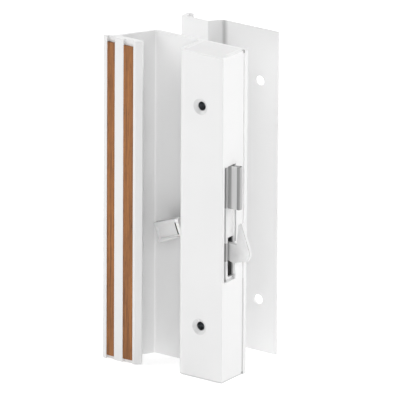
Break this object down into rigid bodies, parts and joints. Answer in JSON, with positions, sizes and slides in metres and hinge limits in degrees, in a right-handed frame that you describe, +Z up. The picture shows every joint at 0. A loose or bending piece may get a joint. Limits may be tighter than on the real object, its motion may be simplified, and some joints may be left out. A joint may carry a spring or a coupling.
{
  "type": "sliding door latch handle",
  "caption": "Sliding patio door handle set: grooved pull with wood strips, boxed housing with a pivoting hook latch, and a bent exterior finger pull.",
  "frame": {"origin": "midpoint between the two door screws, on the interior face of the door", "axes": "+X towards the side the hook comes out of, +Y through the door to the outside, +Z up along the handle"},
  "size_m": [0.1186, 0.0814, 0.248],
  "materials": {
    "white_aluminium": "satin white powder coat",
    "wood": "satin",
    "white_plastic": "satin",
    "hook_steel": "satin",
    "guide_steel": "polished",
    "bright_steel": "satin",
    "spring_steel": "satin",
    "bronze": "satin"
  },
  "bodies": {
    "handle": {"pull_extrusion": "white_aluminium", "wood_strip_left": "wood", "wood_strip_right": "wood", "housing_cover": "white_aluminium", "top_end_cap": "white_plastic", "bottom_end_cap": "white_plastic", "screw_post_upper": "bright_steel", "screw_post_lower": "bright_steel", "pivot_pin": "bright_steel", "rear_spacer": "bright_steel", "front_spacer": "bright_steel", "retaining_clip": "spring_steel", "pivot_bracket": "bright_steel", "bracket_rivet_upper": "bright_steel", "bracket_rivet_lower": "bright_steel", "detent_spring": "spring_steel", "spring_rivet": "bright_steel", "keeper_guide": "guide_steel", "guide_carrier": "bright_steel", "guide_rivet_upper": "bright_steel", "guide_rivet_lower": "bright_steel", "carrier_rivet_upper": "bright_steel", "carrier_rivet_lower": "bright_steel", "exterior_pull": "white_aluminium"},
    "latch": {"latch_plate": "hook_steel", "thumb_tab": "white_plastic", "hub_bush": "bronze"}
  },
  "joints": [
    {"name": "latch_pivot", "type": "hinge", "parent": "handle", "child": "latch", "pos_m": [0, -0.0165, -0.012], "axis": [0, 1, 0], "range_deg": [0, 28]}
  ]
}
